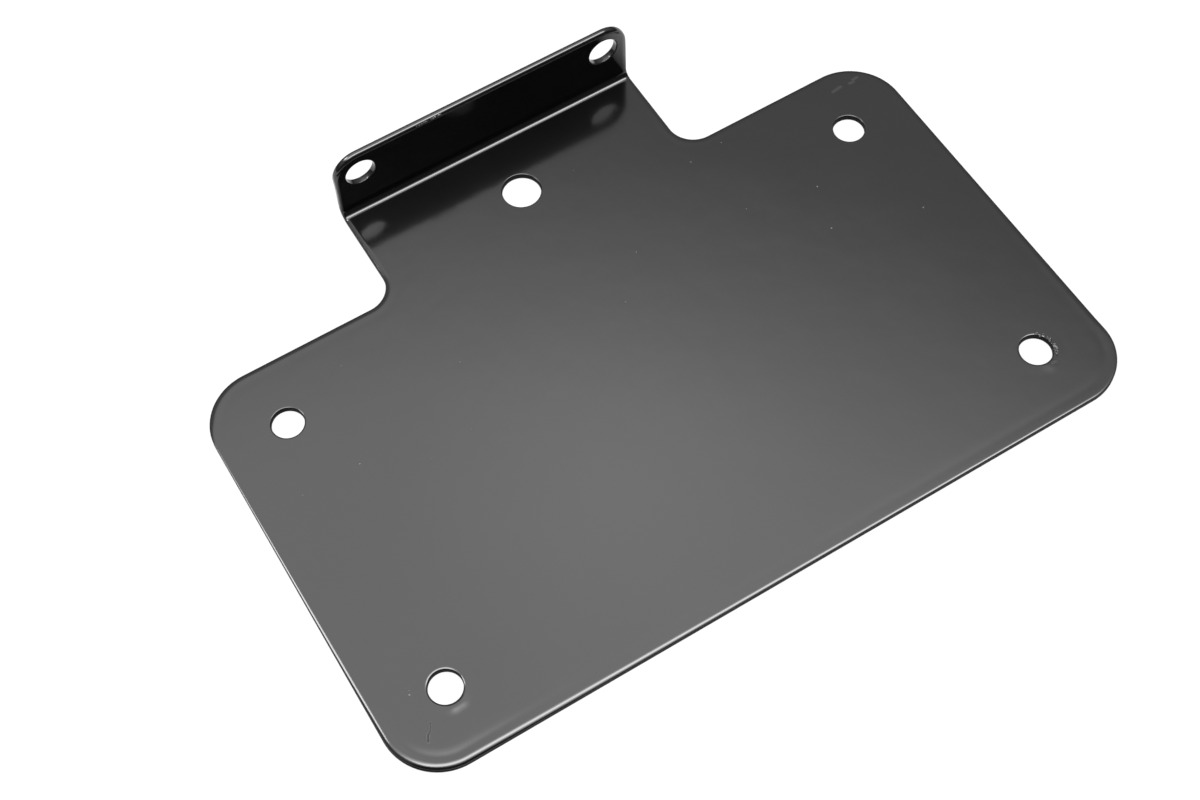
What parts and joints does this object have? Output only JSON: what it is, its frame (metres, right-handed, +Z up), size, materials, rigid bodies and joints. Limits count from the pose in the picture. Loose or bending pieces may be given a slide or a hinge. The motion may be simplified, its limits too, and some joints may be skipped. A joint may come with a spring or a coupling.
{
  "type": "license plate bracket",
  "caption": "Flat rounded panel that holds a motorcycle-size plate, with a neck and a folded mounting flange at its back, in black powder coated steel.",
  "frame": {"origin": "centre of the four plate holes, on the underside of the panel", "axes": "+X along the panel's long side, +Y from the panel towards the flange, +Z up, from the underside to the side that the flange stands on"},
  "size_m": [0.1778, 0.1286, 0.0204],
  "materials": {
    "powder_coat": "semi-gloss black powder coat with a fine orange peel"
  },
  "bodies": {
    "root": {"bracket": "powder_coat"}
  },
  "joints": []
}
